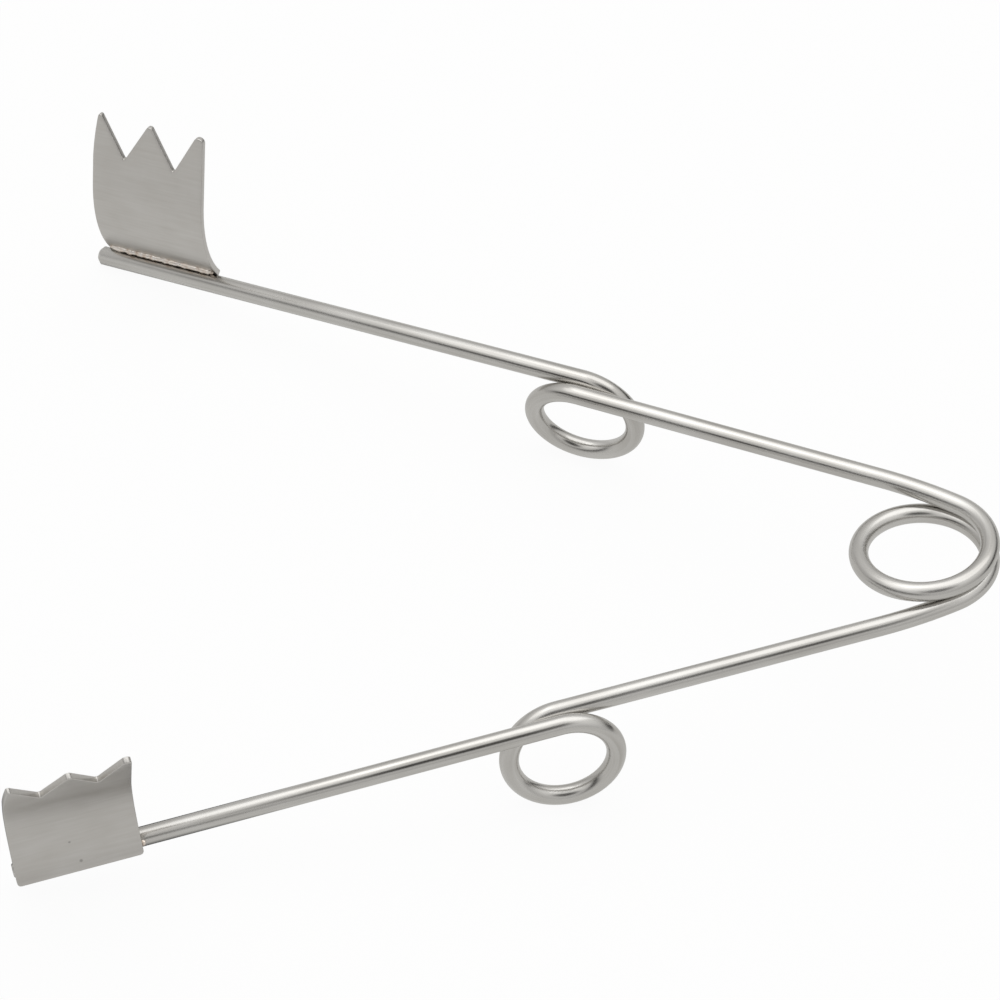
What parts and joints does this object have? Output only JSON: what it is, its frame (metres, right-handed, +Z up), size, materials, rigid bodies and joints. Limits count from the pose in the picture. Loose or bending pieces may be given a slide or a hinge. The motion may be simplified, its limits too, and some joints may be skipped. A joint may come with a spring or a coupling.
{
  "type": "spring wire retractor",
  "caption": "Self-retaining spring wire retractor: a wire wound into a middle coil and elbow loops, with a bent pronged blade brazed to each end.",
  "frame": {"origin": "centre of the bounding box, at its bottom, on the surface that the retractor lies on", "axes": "+X from the blades to the middle coil, +Y from the lower blade's side to the upper blade's side, +Z up"},
  "size_m": [0.0728, 0.0684, 0.0178],
  "materials": {
    "wire_steel": "satin drawn stainless wire",
    "blade_steel": "satin stainless sheet with brighter cut edges",
    "braze_metal": "uneven pale gold bead"
  },
  "bodies": {
    "root": {"spring_wire": "wire_steel", "upper_blade": "blade_steel", "lower_blade": "blade_steel", "upper_braze": "braze_metal", "lower_braze": "braze_metal"}
  },
  "joints": []
}
